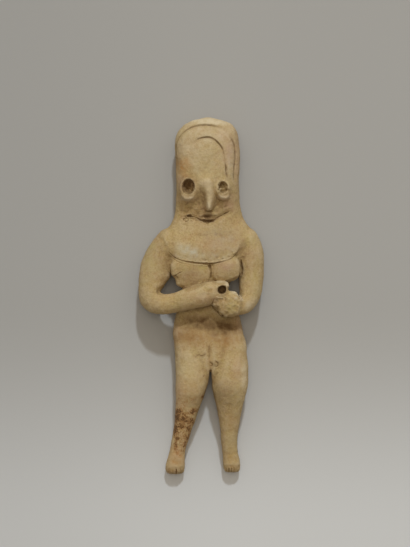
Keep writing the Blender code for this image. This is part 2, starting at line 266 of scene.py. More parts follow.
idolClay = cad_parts["idol"].copy()
idolClay.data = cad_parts["idol"].data.copy()
idolClay.name = "idolClay"
idolClay.parent = None
for key in list(idolClay.keys()):
    del idolClay[key]
bpy.context.scene.collection.objects.link(idolClay)
takeOnly(idolClay)
bpy.ops.object.mode_set(mode="EDIT")
bpy.ops.mesh.select_all(action="SELECT")
bpy.ops.mesh.remove_doubles(threshold=idolForm["weld"])
bpy.ops.object.mode_set(mode="OBJECT")
finishWith(idolClay, "REMESH", mode="VOXEL", voxel_size=idolForm["grain"], use_smooth_shade=True)
for _ in range(idolForm["settle"]):
    finishWith(idolClay, "SMOOTH", factor=idolForm["drawIn"], iterations=3)
    finishWith(idolClay, "SMOOTH", factor=idolForm["letOut"], iterations=3)
print("body kneaded:", len(idolClay.data.polygons), "faces")
skin = Clay(idolClay)

# The plain source's scored lines are closed first, and every mark is then made afresh.
oldMarks = {
    "jaw line": ([(182, 219.8), (190.9, 217.9), (199.1, 220.4), (207.7, 222.1), (215.6, 220),
                  (222.8, 215.7), (230, 212.4)], 3.6),
    "leg line": ([(209.5, 343), (209.9, 357.8), (210.6, 368)], 3.4),
    "outer hair line": ([(177.3, 169), (177.6, 150.2), (179.4, 141.6), (184.1, 133.7), (192.7, 128.3),
                         (208.1, 126.2), (221, 128.3), (228.5, 133.7), (233.5, 143), (235.6, 157.3),
                         (234.9, 168.1), (234.2, 181.5)], 2.5),
    "inner hair line": ([(191, 146.6), (197, 141.6), (205.9, 138.4), (214.9, 142), (222.4, 152),
                         (225.6, 164.9), (228.1, 178.4)], 2.5),
    "left toes": ([(168, 471.5), (175, 472), (182, 471.5)], 4.5),
    "right toes": ([(225, 470.5), (232, 470.5), (239, 470)], 4.5),
    "left end of collar": ([(158, 231), (161, 238), (164.5, 246), (169, 252)], 7.0),
    "right end of collar": ([(240, 231), (243.5, 238), (244, 246), (242, 252)], 5.0),
    "mouth": ([(201, 215), (207, 216), (214, 215)], 5.0),
    "throat": ([(199, 225), (207, 226.5), (215, 225)], 5.0),
    "edge of left breast": ([(171, 256), (171.6, 263), (172, 270)], 4.5),
}
healing = np.zeros(len(skin.at), bool)
for path, width in oldMarks.values():
    rows, _ = pressedPath(path)
    picked = skin.within(rows.min(0) - width, rows.max(0) + width)
    away, _, _ = nearestOn(rows, skin.at[picked, :2])
    healing[picked[away < width]] = True
healed = idolClay.vertex_groups.new(name="healed")
healed.add(np.nonzero(healing)[0].tolist(), 1.0, "REPLACE")
finishWith(idolClay, "SMOOTH", factor=idolForm["drawIn"], iterations=idolForm["heal"], vertex_group="healed")
idolClay.vertex_groups.clear()
print("old marks closed")

# The parts that carry fine work get a finer mesh.
fineWork = {
    "head": ((172, 120), (242, 226)),
    "chest and hands": ((160, 226), (250, 322)),
    "left toes": ((162, 462), (188, 480)),
    "right toes": ((220, 460), (245, 480)),
}
plan = onSheet(readRows(idolClay.data.polygons, "center"))[:, :2]
lookingUp = readRows(idolClay.data.polygons, "normal")[:, 2] > -0.1
chosen = np.zeros(len(plan), bool)
for low, high in fineWork.values():
    chosen |= ((plan > low) & (plan < high)).all(axis=1) & lookingUp
takeOnly(idolClay)
bpy.ops.object.mode_set(mode="EDIT")
bpy.ops.mesh.select_mode(type="FACE")
bpy.ops.mesh.select_all(action="DESELECT")
bpy.ops.object.mode_set(mode="OBJECT")
idolClay.data.polygons.foreach_set("select", chosen)
bpy.ops.object.mode_set(mode="EDIT")
bpy.ops.mesh.subdivide(number_cuts=1)
bpy.ops.object.mode_set(mode="OBJECT")
print("fine areas cut:", len(idolClay.data.polygons), "faces")
skin.read()

# The spaces inside the elbows, seen from the front, have straight edges.
skin.grab((162.5, 291), (5, 5), (-4.0, 1.0, 0))
skin.grab((169.5, 267.5), (3.5, 5), (1.2, 4.5, 0))
skin.grab((166.5, 276), (4, 6), (3.4, 0, 0))
skin.grab((174.5, 280), (4, 4.5), (2.6, -2.8, 0))
skin.grab((233, 286), (4, 7), (-4.5, 0, 0))
skin.grab((239, 294), (3.5, 4), (0.5, 3.0, 0))
skin.write()

# The hood of hair stands a little proud of the forehead.
skin.dab((206, 122), (32, 5), 0.5)
skin.dab((208, 150), (17, 12), 0.6)

# The cheeks and the mouth fall back from the brow to the jaw.
skin.dab((189, 206), (12, 9), -1.4, straight=True)
skin.dab((221, 205), (10, 9), -1.4, straight=True)
skin.dab((207, 215), (17, 5), -1.8, straight=True)
skin.write()

# The waist falls back under the hands.
skin.dab((212, 326), (26, 9), -2.0, straight=True)
skin.dab((224, 325), (14, 9), -1.0, straight=True)
skin.write()

# Breasts: full lobes that turn under at their lower edges.
skin.grab((173, 266), (4.5, 8), (-2.4, 0, 0))
skin.write()
skin.dab((171, 264), (5, 7.5), 1.2, straight=True)
skin.dab((190, 272), (12, 9), 1.2)
skin.dab((202, 274), (7, 7), 0.9)
skin.dab((226, 269), (11, 9.5), 1.5)
skin.write()
skin.score([(180, 285.5, 0.5), (186, 289), (197, 286.6), (206, 281)], 2.6, 0.7, taper=0.2)
skin.score([(211, 279), (216, 282.8), (224, 283.4), (232, 281.2), (239, 275.5)], 2.6, 0.7, taper=0.2)
skin.write()

# Finger pressure and drying leave no part of the skin even.
for size, height, seed in idolForm["uneven"]:
    skin.at += skin.facing * (height * unevenness(skin.at, size, seed))[:, None]
skin.write()
print("forms pressed")

# Hair: two scored arcs under a low hood. Each line: path, half width, depth and lip.
hairLines = {
    "hood left": ([(176.1, 168, 0.3), (176.1, 160, 0.7), (176.2, 152, 0.8), (176.6, 144, 0.8),
                   (180.6, 136, 0.6), (187.2, 130.3, 0.8), (194, 127.1), (201.7, 125.9, 1.1),
                   (209.4, 125.9, 1.2), (216.1, 127), (220.6, 128.1, 0.5)], 1.0, 0.8, 0.15),
    "hood right": ([(230.0, 136.4, 0.4), (231.4, 139.4, 0.8), (233.8, 144.2), (235, 152, 1.1), (235.1, 161),
                    (234, 169.8, 1.1), (234, 178, 0.8), (234.4, 183, 0.3)], 1.0, 0.85, 0.15),
    "forehead arc": ([(193.6, 143.6, 0.3), (195.6, 141.8, 0.6), (198.6, 139.8, 0.8), (202.8, 138.6),
                      (208, 138.2, 1.2), (212.8, 139.7, 1.1), (217.2, 143, 1.2), (220.9, 147.2, 1.1),
                      (223, 151.4, 0.7), (224.2, 156.6, 0.4), (225.1, 163, 0.35), (226.1, 168.7, 1.3),
                      (226.1, 173, 0.9), (227.4, 178, 0.8), (228.8, 182, 0.3)], 1.0, 0.9, 0.1),
}
for path, width, depth, lip in hairLines.values():
    skin.score(path, width, depth, lip, shake=0.35)
skin.write()

# Eyes: pellets pressed on and pierced with a stick.
skin.hoop((188.4, 188.8), (8.6, 10.8), 2.4, 0.6, heavy=0.8)
skin.hoop((224.0, 189.4), (7.4, 8.8), 2.2, 0.6, heavy=0.8)
skin.write()
skin.widen((188.1, 186.8), (9.5, 11), 0.16)
skin.widen((222.6, 187.6), (7, 8), 0.26)
skin.write()
skin.score([(180.2, 193.6), (183.8, 198.2), (189, 199.9), (194, 198.0), (197, 193.4)], 3.0, -1.1,
           taper=0.3, shake=0.5)
skin.score([(217.6, 195), (221.4, 198.2), (226, 198.4), (230.2, 194.4)], 2.8, -0.9, taper=0.3, shake=0.5)
skin.write()
skin.dab((187.4, 186.6), (4.6, 5.4), -1.2, straight=True)
skin.dab((222.8, 188.8), (5.4, 5.0), 2.9, straight=True)
skin.dab((226.6, 190.8), (3.0, 1.6), -1.6, straight=True)
skin.dab((219.9, 189.6), (1.6, 1.8), 2.4, straight=True)
skin.write()
skin.crumble((188, 187), (7.5, 9), ((3.2, 1.2), (1.6, 0.6)), 14)
skin.crumble((223.2, 188), (7, 7), ((3.2, 1.2), (1.6, 0.6)), 16)
skin.write()

# Nose: the brow drawn down into a beak, its sides pinched into flat slopes.
skin.dab((205.5, 183.5), (13, 6.5), 0.9, straight=True)
skin.dab((200.4, 200.5), (6, 9), -1.3, turn=-12, straight=True)
skin.dab((219, 200.5), (4.6, 8), -0.9, turn=10, straight=True)
skin.write()
skin.score([(205.6, 172, 2.1), (206.4, 180, 2.05), (208, 187.6, 1.75), (209.8, 193, 1.4), (210.4, 198, 1.25),
            (210.3, 203, 1.15), (209.7, 210.6)], 4.8, -1.25, taper=0.3, shake=0.05)
skin.dab((209.5, 206), (3.0, 5.0), 1.1, straight=True)
skin.dab((209.3, 208.6), (2.4, 2.2), 0.5, straight=True)
skin.write()
skin.score([(204.6, 211.4), (209.2, 211.9), (213.6, 211.2)], 1.2, 1.5, taper=0.3, shake=0.1)
skin.write()

# Mouth: a slot between two small lobes, and the crease under the jaw.
skin.score([(202, 213.8, 0.6), (207.5, 213.6), (213, 213.0, 0.6)], 1.1, -0.6, taper=0.3, shake=0.3)
skin.score([(203.6, 219.0, 0.6), (208.4, 219.2), (212.8, 218.4, 0.6)], 1.0, -0.7, taper=0.3, shake=0.3)
skin.dab((200.5, 215.9), (2.2, 1.7), 0.9)
skin.dab((215.4, 214.5), (2.3, 1.7), 0.9)
skin.write()
skin.dab((207.5, 216.6), (4.6, 1.0), -1.9, turn=-4, straight=True)
skin.write()
jawCrease = [
    (186.2, 217.4, 0.5), (188, 216.6, 1.3), (190.4, 216.4, 1.5), (192.4, 216.8, 0.7), (195.6, 217.6, 0.5),
    (198.6, 219.2, 0.8), (202.8, 220.7, 1.4), (207, 221.2, 1.5), (211, 221.1, 1.4), (214.4, 220, 0.8),
    (218.3, 217.2, 0.6), (222.4, 215.1, 0.5), (227.2, 212.7, 0.6), (229.2, 211.6, 0.3), (230.8, 211.2, 0.8),
]
skin.score(jawCrease, 1.1, 1.3, 0.15, taper=0.05, shake=0.7)
skin.score([(184.2, 221.2), (183.7, 219.4), (186, 218.3), (188.4, 219.4, 0.6), (187.2, 221.4),
            (184.6, 221.4)], 0.75, 0.9, 0.15, taper=0.05, shake=0.6)
skin.dab((192, 220.6), (2.6, 1.2), -0.5)
skin.crumble((190, 218.6), (9, 4.5), ((2.6, 0.9), (1.3, 0.5)), 18)
skin.crumble((206, 219), (13, 5), ((3.0, 0.5), (1.4, 0.4)), 20)
skin.crumble((190, 207), (14, 9), ((5.0, 0.6), (2.2, 0.35)), 22)
skin.crumble((220, 205), (10, 8), ((4.0, 0.5), (2.0, 0.3)), 24)
skin.write()

# Collar: its lower edge stands off the breasts, and its ends sink into the shoulders.
collarEdge = [
    (167.6, 250.4, 0.25), (171, 254.4, 0.6), (176, 258.2, 0.55), (183, 260.8, 0.7), (190, 262.2, 0.95),
    (198, 263.3, 1.15), (206, 263.9, 1.3), (213, 263.5, 1.1), (219, 262.4, 0.75), (226, 260.6, 0.5),
    (232, 258, 0.5), (238, 251.5, 0.3),
]
skin.score(collarEdge, 1.0, 1.15, 0.3, taper=0.05, shake=0.5)
skin.score([(170.6, 256), (176.4, 260.8), (183, 263.6), (188, 264.2)], 0.7, 0.4, 0.15, taper=0.3, shake=0.8)
skin.score([(160, 234), (162, 240), (164.6, 246), (168, 251)], 3.0, 0.8, 0.1, taper=0.3)
chippedRim = (
    (217, 257.6, 2.0), (222.4, 259.0, 1.4), (228.6, 257.0, 1.5), (205.5, 260.4, 1.3), (232.6, 252.4, 1.2),
)
for column, row, size in chippedRim:
    skin.dab((column, row), (size, size * 0.8), -0.45, fullness=3)
    skin.dab((column + size * 0.8, row + size * 0.7), (size * 0.6, size * 0.5), 0.5)
skin.write()

# Breasts: the cleft, the drying cracks and the crevice beside the right arm.
skin.score([(208.8, 264.6, 1.3), (209.8, 267, 0.9), (210.9, 272, 0.6), (210.6, 279, 0.7)], 1.5, 1.5,
           0.1, taper=0.1)
skin.score([(172, 276.5), (175.6, 275.6), (179.2, 273), (182.4, 271.6)], 0.7, 0.6, 0.15, taper=0.2, shake=0.6)
skin.score([(241, 259, 0.5), (241.4, 264, 0.8), (241.8, 270, 1.1), (241, 276)], 1.2, 2.6, 0.0, taper=0.1)
skin.write()

# Hands: a pierced fist above a palm that has lost its surface.
skin.score([(201.5, 287.2, 0.7), (205.4, 289.0), (209.5, 290.0, 1.1), (214.2, 290.2, 0.8)], 2.4, 0.7,
           0.1, taper=0.3)
skin.grab((215, 311), (5, 5), (2.6, -2.2, 0))
skin.grab((226, 284), (4, 4), (1.8, -1.2, 0))
skin.write()
skin.score([(215.4, 297, 0.4), (213, 301, 0.6), (212.4, 305, 0.8), (215, 309.5), (220, 313.5), (224.8, 318)],
           1.4, 1.0, 0.1, taper=0.12, shake=0.5)
skin.score([(227.2, 283.6, 0.8), (229, 287.6), (231.4, 290), (235.6, 292.2), (239, 295.2), (241.6, 299.4)],
           1.1, -1.1, 0.0, taper=0.1)
skin.score([(215.5, 295.5), (219, 297.6), (223.5, 297.4), (227, 296)], 1.1, -0.7, 0.3, taper=0.2, shake=0.4)
skin.write()
broken = skin.within((211, 293), (244, 320))
chips = unevenness(skin.at[broken], 5.5, 11) * 0.9 + unevenness(skin.at[broken], 2.6, 12) * 0.6
hold = np.exp(-(ovalReach(skin.at[broken], (228, 305), (14, 13)) ** 6))
skin.shift(broken, chips * hold)
skin.dab((236, 298.2), (1.7, 1.3), 0.9)
skin.dab((226, 315.6), (1.9, 1.4), 0.9)
skin.dab((213.8, 304.4), (1.5, 1.5), 0.8)
skin.write()

# Legs: the valley and slit between them, a drying crack, two pits and the toes.
skin.score([(208.6, 344), (208.4, 352), (208.9, 361), (210.3, 370)], 1.8, 0.2, 0.0, taper=0.4, shake=0.4)
skin.score([(210.6, 369), (210.5, 372), (210.3, 377), (210.2, 383)], 1.1, 1.9, 0.0, taper=0.12, shake=0.15)
skin.score([(195.6, 356.4), (198.6, 354.6), (201.6, 355.4), (205.2, 354)], 0.6, 0.4, 0.15,
           taper=0.25, shake=0.6)
skin.score([(228.4, 403.2), (231.2, 404.4), (230.4, 407.6)], 0.6, 0.3, 0.1, taper=0.3, shake=0.5)
for path in (
    [(208.8, 361.8), (210.8, 362.8), (212.2, 364.6), (210.2, 366)],
    [(213.6, 362.4), (216.4, 361.6), (218.2, 363.6), (216.4, 366.2), (213.8, 366)],
):
    skin.score(path, 0.9, 0.9, 0.15, taper=0.2, shake=0.6)
toeCuts = (
    (168.4, 471.0, 0.4), (172.4, 472.4, 0.4), (176.0, 471.6, 1.5), (180.4, 471.6, 0.4),
    (226.0, 470.6, 0.8), (228.8, 470.8, 1.5), (231.4, 470.6, 0.8), (234.0, 470.0, 0.5),
)
for column, row, depth in toeCuts:
    skin.score([(column, row - 2.4), (column + 0.2, row), (column - 0.1, row + 5.5)], 0.75, depth, 0.15,
               taper=0.15, shake=0.4)
skin.write()

# Back: the hair's lower edge, the cleft of the seat, the folds behind the knees and a thumb's dents.
skin.score([(184, 204), (192, 210), (207, 213), (222, 209), (230, 202)], 1.6, 0.6, 0.2, shake=0.4, back=True)
skin.score([(208, 322, 0.6), (209.5, 334), (210, 346, 1.1), (210, 358, 0.8)], 1.8, 0.9, 0.15,
           shake=0.4, back=True)
skin.score([(181, 396), (190, 398.5), (200, 397)], 1.2, 0.4, 0.1, taper=0.35, shake=0.6, back=True)
skin.score([(216, 395), (226, 397.5), (238, 395.5)], 1.2, 0.4, 0.1, taper=0.35, shake=0.6, back=True)
for middle, half, turn in (((186, 262), (7, 4), 30), ((226, 286), (6, 4), -20), ((204, 240), (8, 4), 5)):
    skin.dab(middle, half, -0.6, turn=turn, back=True)
skin.write()
print("tool marks made")

triangles = sum(len(face.vertices) - 2 for face in idolClay.data.polygons)
if triangles > idolForm["limit"]:
    finishWith(idolClay, "DECIMATE", ratio=idolForm["limit"] / triangles)
takeOnly(idolClay)
bpy.ops.object.shade_smooth()
print("clay finished:", sum(len(face.vertices) - 2 for face in idolClay.data.polygons), "triangles")


# What the ground and the years left on the clay, with painted light and shade among it. Each patch: middle,
# half sizes, turn and strength.
patches = {
    # Pale clay with painted highlights: the lit top and left of the hood, brow, nose ridge and tip, lower eye
    # rims, neck, thigh, foot and hand bumps.
    "paleAndHighlight": [
        ((207, 121), (34, 5), 0, 1.2), ((206, 135), (30, 14), 0, 0.65), ((188, 150), (16, 20), 0, 0.75),
        ((207, 160), (24, 26), 0, 0.4), ((188.4, 199), (7.5, 2.2), 0, 0.9), ((183, 450), (3, 8), 0, 0.2),
        ((208.6, 206), (2, 4), 0, 0.8), ((207, 184), (9, 7), 0, 0.5), ((209.8, 196), (3.6, 9), 0, 0.5),
        ((180, 158), (6, 22), 0, 0.4), ((219.9, 189.2), (1.3, 1.4), 0, 0.9), ((176, 465), (9, 6), 0, 0.45),
        ((186, 226), (12, 6), 0, 0.25), ((222, 281.6), (7, 1.3), 0, 0.8), ((236, 298), (1.8, 1.3), 0, 1.0),
        ((213.6, 304.4), (1.5, 1.6), 0, 0.8), ((226, 315.4), (1.8, 1.3), 0, 0.8),
        ((230, 303.4), (2.4, 1.2), 0, 0.5), ((221, 297.4), (4.5, 1.0), 10, 0.6),
        ((249, 305), (5, 3.5), -40, 0.7), ((186, 366), (15, 20), 0, 0.35), ((217, 255), (2.2, 1.6), 0, 0.8),
        ((243.5, 376), (2.4, 12), 0, 0.9), ((223.5, 197.6), (7, 2.2), 0, 0.7),
        ((224, 257.6), (1.8, 1.3), 0, 0.8), ((229, 254.6), (1.8, 1.3), 0, 0.8),
        ((233, 251.4), (1.6, 1.3), 0, 0.6), ((211, 258.6), (2, 1.4), 0, 0.6), ((216, 300), (2, 1.2), 20, 0.7),
        ((198, 290), (6, 2), -10, 0.3), ((246, 340), (2, 8), 0, 0.4), ((181, 352), (3, 12), 0, 0.3),
    ],
    "chalk": [
        ((190.6, 251.4), (13, 5.6), 22, 1.1), ((181, 245), (5, 3), 0, 0.5), ((213, 255), (6, 4), 0, 0.35),
        ((199, 171), (5, 3), 0, 0.2), ((222, 240), (18, 13), 0, 0.35), ((231, 165), (5, 20), 0, 0.35),
    ],
    "rosy": [
        ((229, 152), (5, 18), 0, 0.7), ((222, 136), (9, 6), 20, 0.5), ((181, 182), (4, 7), 0, 0.6),
        ((229, 203), (6, 8), 0, 0.6), ((227, 266), (9, 5), 0, 0.7), ((177, 334), (5, 10), 0, 0.4),
        ((177.8, 454), (2.6, 5.5), -8, 1.0), ((177, 392), (8, 16), 0, 0.4), ((207, 218), (9, 4), 0, 0.4),
        ((238, 366), (5, 12), 0, 0.35), ((214, 300), (4, 3), 0, 0.4), ((240, 325), (5, 8), 0, 0.4),
        ((222, 243), (15, 9), 0, 0.4), ((205, 299), (9, 5), 0, 0.35), ((188, 199.5), (8, 3), 0, 0.5),
        ((224, 198), (7, 3), 0, 0.5), ((192, 276), (10, 6), 0, 0.25), ((204, 131), (12, 3), 0, 0.25),
        ((237, 160), (3.5, 26), 0, 0.5), ((205, 208), (4, 3), 0, 0.35), ((252, 262), (6, 10), 0, 0.25),
    ],
    "ochre": [
        ((152, 246), (3.4, 3.4), 0, 0.9), ((205, 172), (12, 8), 0, 0.3), ((181, 134), (7, 5), -40, 0.3),
        ((232, 307), (6, 6), 0, 0.5), ((170, 303), (14, 5), 0, 0.2), ((203, 268), (4, 3), 0, 0.5),
        ((250, 240), (7, 6), 0, 0.3), ((205, 402), (4, 8), 0, 0.2), ((236, 405), (6, 20), 0, 0.25),
        ((150, 264), (6, 18), 0, 0.35), ((256, 280), (4, 20), 0, 0.3), ((188, 372), (10, 16), 0, 0.3),
        ((232, 445), (6, 16), 0, 0.3), ((185, 268), (8, 4), 20, 0.3),
    ],
    "orange": [
        ((183, 166), (7, 9), 0, 1.2), ((186, 175), (7, 3), 0, 0.7), ((171, 471), (6, 5), 0, 0.5),
        ((195, 399), (9, 6), 0, 0.5), ((231, 424), (6, 10), 0, 0.35), ((176, 452), (7, 8), 0, 0.8),
        ((184, 428), (10, 20), 0, 0.6), ((190, 337), (18, 9), 0, 0.8), ((224, 338), (16, 9), 0, 0.95),
        ((232, 455), (5, 14), 0, 0.3), ((190, 210), (12, 7), 0, 0.3), ((193, 186), (3, 8), 0, 0.5),
        ((184, 156), (9, 16), 0, 0.12), ((190, 386), (12, 12), 0, 0.45), ((177, 458), (9, 10), 0, 1.0),
        ((232, 470), (9, 5), 0, 0.4), ((168, 300), (10, 6), 0, 0.2), ((207, 246), (12, 6), 0, 0.2),
    ],
    # Dirt with painted shade and shadow: the hands' shadow on the belly, the nose's over the mouth, and
    # shaded cheeks, pits, knees and crevices.
    "dirtAndShade": [
        ((189, 209), (13, 8), 0, 0.15), ((200, 199), (5, 9), -12, 0.3), ((218, 203), (7, 8), 0, 0.05),
        ((207.4, 216.4), (6.2, 2.2), 0, 1.35), ((222, 327), (18, 9), 0, 1.4), ((203, 323), (24, 8), 0, 1.2),
        ((188, 186.4), (6, 7.4), 0, 1.4), ((223, 190), (5.4, 4), 0, 0.5), ((167, 266), (5, 9), 0, 0.3),
        ((188, 195.2), (5, 1.6), 0, 0.4), ((224, 337), (15, 8), 0, 0.5), ((188, 216.4), (4.4, 2.2), 0, 0.7),
        ((155, 250), (13, 24), 0, 0.28), ((222, 243), (20, 18), 0, 0.22), ((222, 192), (5, 1.2), 0, 0.4),
        ((226.6, 190.8), (2.4, 1.2), 0, 0.7), ((222, 396), (15, 13), 0, 0.5), ((232, 430), (10, 30), 0, 0.2),
        ((193, 400), (10, 6), 0, 0.35), ((193, 283), (14, 4), -10, 0.3), ((207, 292), (6, 2.5), 0, 0.35),
        ((190, 272), (18, 10), 0, 0.42), ((226, 270), (13, 8), 0, 0.26), ((227, 307), (13, 9), 0, 0.26),
        ((151, 262), (9, 22), 0, 0.18), ((150, 296), (11, 11), 0, 0.2), ((254, 280), (11, 32), 0, 0.2),
        ((188, 337), (18, 9), 0, 0.5), ((213.6, 364), (6, 2.6), 0, 0.6), ((221.8, 290), (4.5, 4.5), 0, 1.0),
        ((174, 475), (12, 2.6), 0, 0.5), ((232, 475), (12, 2.4), 0, 0.5), ((203, 397), (2.2, 1.6), 0, 0.9),
        ((217, 364), (3, 2), 0, 0.5), ((190.4, 218), (4, 3), 0, 0.35), ((206, 222), (9, 2), 0, 0.3),
    ],
    "crust": [
        ((178.4, 411.6), (4.8, 3.4), 0, 1.1), ((192.6, 411.6), (5.5, 3), -25, 1.0),
        ((184, 414), (6, 3), 0, 0.75), ((177.0, 418), (4.0, 6), 0, 1.15), ((184.6, 419.4), (7, 5), 0, 1.0),
        ((190.4, 421.4), (5, 4), -20, 1.0), ((182, 426.4), (6, 4.4), 0, 1.0), ((188.5, 429), (3, 4), 0, 0.9),
        ((175.4, 430), (3.4, 8), 5, 1.0), ((176.8, 439.2), (3.2, 3), 0, 1.05),
        ((175.6, 446), (2.0, 6), 0, 0.95), ((187.4, 437.6), (2.4, 5), 30, 0.9),
        ((184.6, 445), (2.0, 5), 15, 0.85), ((182.4, 451), (2.4, 2), 0, 0.6), ((181, 402), (9, 6), 0, 0.35),
        ((176.2, 472), (0.8, 3), 0, 0.7), ((182, 430), (8, 22), 0, 0.5), ((177.6, 454), (3, 6), -8, 0.44),
        ((202.6, 396.8), (2, 1.6), 0, 0.85), ((193, 398.6), (3, 1.6), 0, 0.5),
    ],
}
# Dirt with painted shade in the scored lines and crevices, and pale worn clay with painted highlights beside
# them: path, half width and strength.
traces = {
    "dirtAndShade": [
        *((path, width * 1.2, 0.5) for path, width, _, _ in hairLines.values()),
        (jawCrease, 1.5, 0.8),
        (collarEdge, 1.0, 0.5),
        ([(208.8, 264, 1.2), (210.2, 268, 0.8), (210.8, 273, 0.6), (210.4, 279, 0.7)], 1.8, 0.5),
        ([(172, 276.5), (175.6, 275.6), (179.2, 273), (182.4, 271.6)], 1.0, 0.7),
        ([(241, 262, 0.6), (241.6, 266), (241.8, 270), (241, 277)], 1.6, 0.9),
        ([(180, 285.5, 0.6), (186, 288), (197, 286), (206, 281)], 2.6, 0.5),
        ([(211, 279), (216, 282.4), (224, 282.6), (232, 280.6), (238, 276)], 2.2, 0.4),
        ([(220, 313.5, 0.6), (224.8, 319)], 1.8, 0.6),
        ([(208.6, 346, 0.1), (208.8, 360, 0.3), (210.4, 367, 0.6), (210.4, 373), (210.2, 383)], 1.2, 0.8),
        ([(195.6, 356.4), (198.6, 354.6), (201.6, 355.4), (205.2, 354)], 0.9, 0.8),
    ],
    # Painted highlights on lit edges: the hand's broken edge, the rim over the collar's edge and a crack's
    # lower lip.
    "paleAndHighlight": [
        ([(226.4, 282.6), (229, 287.6), (231.4, 290), (235.6, 292.2), (239, 295.2), (241.6, 299.4)],
         1.6, 1.4),
        ([(174, 255), (187, 259), (195, 260.6), (204, 261.4), (213, 261), (222, 260), (229, 257.6)],
         1.4, 0.6),
        ([(196, 359), (205, 357)], 1.0, 0.4),
    ],
}

markShaping = {
    "ragged": 5.0,  # size of the noise that breaks up a patch's edge
    "raggedBy": 2.2,
    "passes": 12,  # smoothing that tells hollows and edges from the plain form
    "hollowFrom": 0.07,  # depth at which a hollow starts to darken
    "edgeFrom": 0.05,  # height at which an edge starts to wear
    "full": 0.4,  # and how much more makes it full
}

skin.read()
count = len(skin.at)
front = ease(skin.facing[:, 2], -0.35, 0.15)
loose = np.column_stack([unevenness(skin.at, markShaping["ragged"], seed) for seed in (21, 22)]) * markShaping["raggedBy"]
# Each stain's mark on the skin, painted highlights and painted shade among them.
stainsAndPaintedLight = {}
for name, spots in patches.items():
    amount = np.zeros(count)
    for middle, half, turn, strength in spots:
        reach = ovalReach(skin.at[:, :2] + loose * min(1.0, min(half) / markShaping["ragged"]), middle, half, turn)
        amount = np.maximum(amount, strength * np.exp(-(reach ** 2.4) * 0.9))
    for path, width, strength in traces.get(name, []):
        rows, force = pressedPath(path)
        away, share, reached = nearestOn(rows, skin.at[:, :2])
        force = np.interp(share, reached, force)
        amount = np.maximum(amount, strength * np.minimum(force, 1.5) * np.exp(-((away / width) ** 2)))
    stainsAndPaintedLight[name] = amount * front

# Hollows are darkened and edges wear pale, all round the figure.
edges = np.empty(len(idolClay.data.edges) * 2, int)
idolClay.data.edges.foreach_get("vertices", edges)
first, second = edges.reshape(-1, 2).T
ends = np.bincount(first, minlength=count) + np.bincount(second, minlength=count)
soft = skin.at.copy()
for _ in range(markShaping["passes"]):
    around = np.column_stack([
        np.bincount(first, soft[second, axis], count) + np.bincount(second, soft[first, axis], count)
        for axis in range(3)
    ])
    soft = around / ends[:, None]
sunk = ((soft - skin.at) * skin.facing).sum(axis=1)
stainsAndPaintedLight["hollow"] = np.clip((sunk - markShaping["hollowFrom"]) / markShaping["full"], 0, 1)
stainsAndPaintedLight["edge"] = np.clip((-sunk - markShaping["edgeFrom"]) / markShaping["full"], 0, 1)
for name, amount in stainsAndPaintedLight.items():
    layer = idolClay.data.attributes.new(name, "FLOAT", "POINT")
    layer.data.foreach_set("value", amount.astype(np.float32))
print("stains placed")


class Wire:
    # a shader socket that takes part in Python sums
    def __init__(self, tree, socket=None):
        self.tree, self.socket = tree, socket

    def node(self, kind, settings, sockets, out=0):
        made = self.tree.nodes.new(kind)
        for name, value in settings.items():
            setattr(made, name, value)
        for name, value in sockets.items():
            if isinstance(value, Wire):
                self.tree.links.new(value.socket, made.inputs[name])
            else:
                made.inputs[name].default_value = value
        return Wire(self.tree, made.outputs[out])

    def sum(self, operation, first, second):
        return self.node("ShaderNodeMath", {"operation": operation}, {0: first, 1: second})

    def __add__(self, other):
        return self.sum("ADD", self, other)

    __radd__ = __add__

    def __sub__(self, other):
        return self.sum("SUBTRACT", self, other)

    def __rsub__(self, other):
        return self.sum("SUBTRACT", other, self)

    def __mul__(self, other):
        return self.sum("MULTIPLY", self, other)

    __rmul__ = __mul__

    def between(self, low, high):
        return self.node("ShaderNodeMapRange", {"interpolation_type": "SMOOTHSTEP"},
                         {"Value": self, "From Min": low, "From Max": high})


bakedClay = {
    "tones": {
        "buff": (0.450, 0.317, 0.132),
        "warmBuff": (0.440, 0.290, 0.122),
        "lightBuff": (0.600, 0.455, 0.230),
        "deepBuff": (0.270, 0.155, 0.052),
        # pale clay, also used for painted highlights
        "paleAndHighlight": (0.640, 0.520, 0.330),
        "chalk": (0.540, 0.475, 0.330),
        "rosy": (0.500, 0.290, 0.190),
        "ochre": (0.470, 0.380, 0.110),
        "orange": (0.450, 0.235, 0.072),
        # dirt, also used for painted shade
        "dirtAndShade": (0.140, 0.072, 0.022),
        "crust": (0.100, 0.042, 0.010),
        "rust": (0.330, 0.145, 0.032),
    },
    "grains": {  # scale, detail and roughness of each noise
        "broad": (130.0, 4.0, 0.55),
        "middling": (450.0, 4.0, 0.55),
        "patchy": (800.0, 3.0, 0.6),
        "relief": (1000.0, 4.0, 0.55),
        "lace": (1500.0, 3.0, 0.65),
        "fine": (1700.0, 2.0, 0.5),
        "speck": (2600.0, 1.0, 0.55),
        "grit": (2600.0, 4.0, 0.55),
    },
    "stainsAndPaintedLight": {  # how much of a stain or painted highlight always shows, and how much more the grain breaks up
        "rosy": (0.45, 0.5),
        "ochre": (0.5, 0.5),
        "paleAndHighlight": (0.45, 0.55),
        "orange": (0.42, 0.5),
        "chalk": (0.35, 0.65),
    },
    "speckle": 0.36,
    "roughness": 0.93,
    "bump": 0.9,
    "bumpDepth": 0.00035,  # metres
}


def mix(factor, first, second):
    return factor.node("ShaderNodeMix", {"data_type": "RGBA"}, {0: factor, 6: first, 7: second}, out=2)


